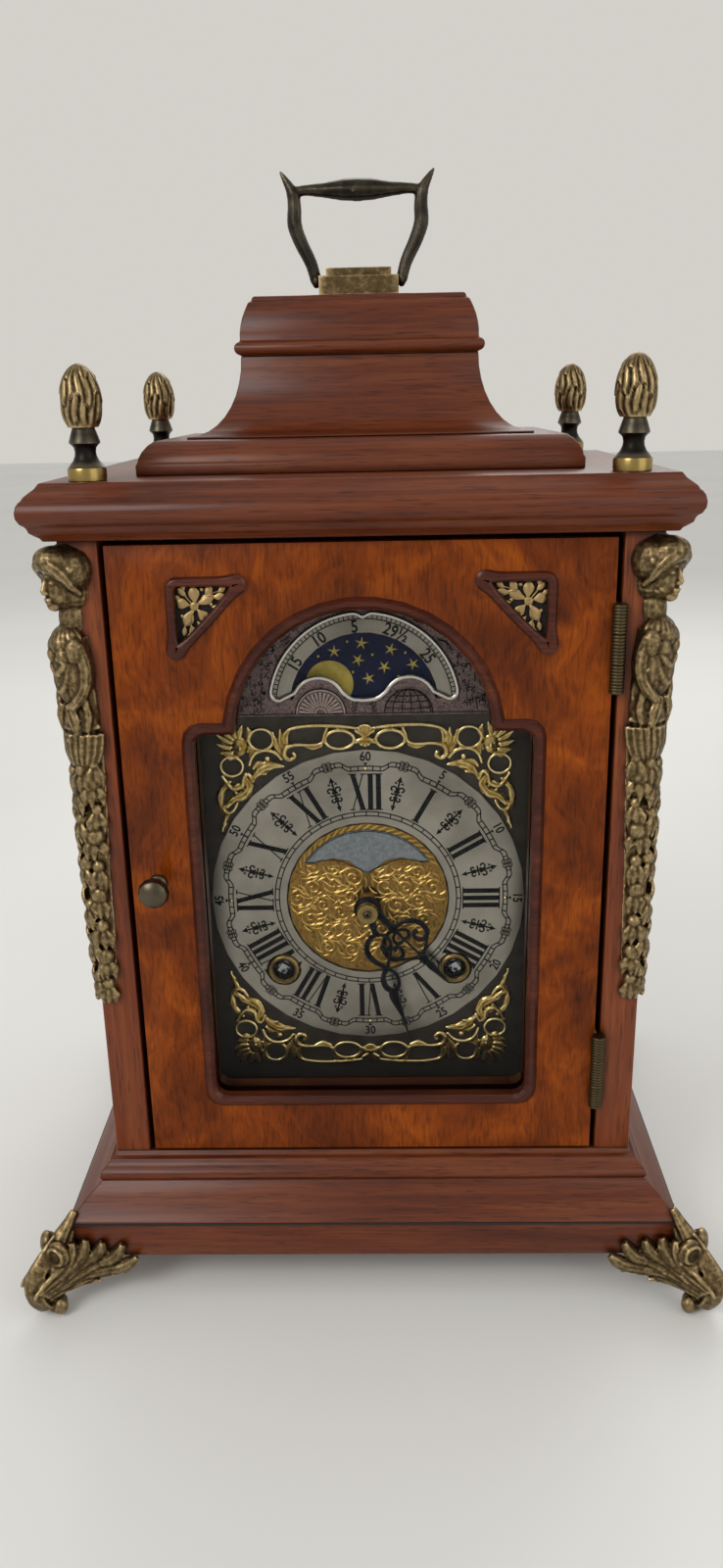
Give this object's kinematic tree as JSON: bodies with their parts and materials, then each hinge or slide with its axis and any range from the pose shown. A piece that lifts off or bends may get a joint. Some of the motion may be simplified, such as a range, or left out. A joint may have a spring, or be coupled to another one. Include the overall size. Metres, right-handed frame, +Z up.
{
  "type": "table clock",
  "caption": "Wooden table clock with a bell top, an arched glass door, a brass dial with a moon disc in the arch, and a bail handle; it shows the hours, minutes and moon's age.",
  "frame": {"origin": "on the table, under the middle of the case", "axes": "+Z up, -Y out of the front door, +X to the right as seen from the front"},
  "size_m": [0.2454, 0.1986, 0.3775],
  "materials": {
    "case_wood": "mahogany, satin varnish",
    "door_veneer": "burr veneer, satin varnish",
    "aged_brass": "antiqued cast brass",
    "gilt_brass": "gilt, polished",
    "dark_brass": "dark matted",
    "movement_brass": "rolled, lacquered",
    "silvered_brass": "silvered, brushed",
    "pewter_plate": "engraved, darkened silver",
    "black_steel": "black lacquered",
    "movement_steel": "turned",
    "moon_paint": "printed night sky",
    "door_glass": "clear"
  },
  "bodies": {
    "case": {"base_plinth": "case_wood", "bottom_board": "case_wood", "case_side_left": "case_wood", "case_side_right": "case_wood", "top_cornice": "case_wood", "caddy_step": "case_wood", "caddy_cove": "case_wood", "caddy_cap": "case_wood", "handle_plate": "aged_brass", "foot_front_left": "aged_brass", "foot_front_right": "aged_brass", "foot_rear_left": "aged_brass", "foot_rear_right": "aged_brass", "finial_front_left": "aged_brass", "finial_front_right": "aged_brass", "finial_rear_left": "aged_brass", "finial_rear_right": "aged_brass", "corner_figure_left": "aged_brass", "corner_figure_right": "aged_brass", "dial_frame": "case_wood", "dial_plate": "dark_brass", "arch_plate": "pewter_plate", "lunar_scale": "silvered_brass", "chapter_ring": "silvered_brass", "centre_disc": "gilt_brass", "name_plaque": "silvered_brass", "spandrel_upper": "gilt_brass", "spandrel_lower": "gilt_brass", "winding_bush_left": "gilt_brass", "winding_bush_right": "gilt_brass", "hinge_case_upper": "aged_brass", "hinge_case_lower": "aged_brass", "rear_hinge_case": "movement_brass", "movement_front_plate": "movement_brass", "movement_back_plate": "movement_brass", "bell": "movement_brass"},
    "front_door": {"door_frame": "door_veneer", "door_moulding": "case_wood", "door_glass": "door_glass", "glazing_bead": "case_wood", "fret_left": "aged_brass", "fret_right": "aged_brass", "door_knob": "aged_brass", "hinge_door_upper": "aged_brass", "hinge_door_lower": "aged_brass"},
    "back_door": {"rear_door": "case_wood", "rear_door_knob": "aged_brass", "rear_hinge_door": "movement_brass"},
    "handle": {"handle_bail": "aged_brass"},
    "minute_work": {"cannon_pinion": "movement_steel", "minute_hand": "black_steel", "hand_nut": "aged_brass"},
    "intermediate_wheel": {"minute_wheel": "movement_brass"},
    "hour_work": {"hour_wheel": "movement_brass", "hour_hand": "black_steel"},
    "moon": {"moon_disc": "moon_paint"},
    "left_winding": {"winding_arbor_left": "movement_steel"},
    "right_winding": {"winding_arbor_right": "movement_steel"},
    "hammer_arm": {"hammer": "movement_steel"},
    "balance": {"balance_wheel": "movement_brass"}
  },
  "joints": [
    {"name": "front_door_hinge", "type": "hinge", "parent": "case", "child": "front_door", "pos_m": [0.07865, -0.0709, 0.1576], "axis": [0, 0, 1], "range_deg": [0, 110]},
    {"name": "rear_door_hinge", "type": "hinge", "parent": "case", "child": "back_door", "pos_m": [0.0829, 0.0703, 0.1588], "axis": [0, 0, -1], "range_deg": [0, 110]},
    {"name": "handle_pivot", "type": "hinge", "parent": "case", "child": "handle", "pos_m": [0, 0, 0.3435], "axis": [1, 0, 0], "range_deg": [-90, 90]},
    {"name": "minute_spin", "type": "hinge", "parent": "case", "child": "minute_work", "pos_m": [0, -0.05, 0.1384], "axis": [0, 1, 0], "continuous": true},
    {"name": "intermediate_spin", "type": "hinge", "parent": "case", "child": "intermediate_wheel", "pos_m": [0.018, -0.035, 0.1384], "axis": [0, 1, 0], "continuous": true},
    {"name": "hour_spin", "type": "hinge", "parent": "case", "child": "hour_work", "pos_m": [0, -0.045, 0.1384], "axis": [0, 1, 0], "continuous": true},
    {"name": "moon_spin", "type": "hinge", "parent": "case", "child": "moon", "pos_m": [0, -0.043, 0.2084], "axis": [0, 1, 0], "continuous": true},
    {"name": "left_winding_spin", "type": "hinge", "parent": "case", "child": "left_winding", "pos_m": [-0.03075, -0.02, 0.111], "axis": [0, 1, 0], "continuous": true},
    {"name": "right_winding_spin", "type": "hinge", "parent": "case", "child": "right_winding", "pos_m": [0.03075, -0.02, 0.111], "axis": [0, 1, 0], "continuous": true},
    {"name": "hammer_swing", "type": "hinge", "parent": "case", "child": "hammer_arm", "pos_m": [0.038, 0, 0.174], "axis": [0, 1, 0], "range_deg": [-1.4, 15]},
    {"name": "balance_swing", "type": "hinge", "parent": "case", "child": "balance", "pos_m": [-0.02, 0.003, 0.17], "axis": [0, 1, 0], "range_deg": [-150, 150]}
  ],
  "couplings": [
    {"joint": "intermediate_spin", "follows": "minute_spin", "ratio": -0.33333},
    {"joint": "hour_spin", "follows": "minute_spin", "ratio": 0.083333},
    {"joint": "moon_spin", "follows": "minute_spin", "ratio": 0.00070621}
  ]
}
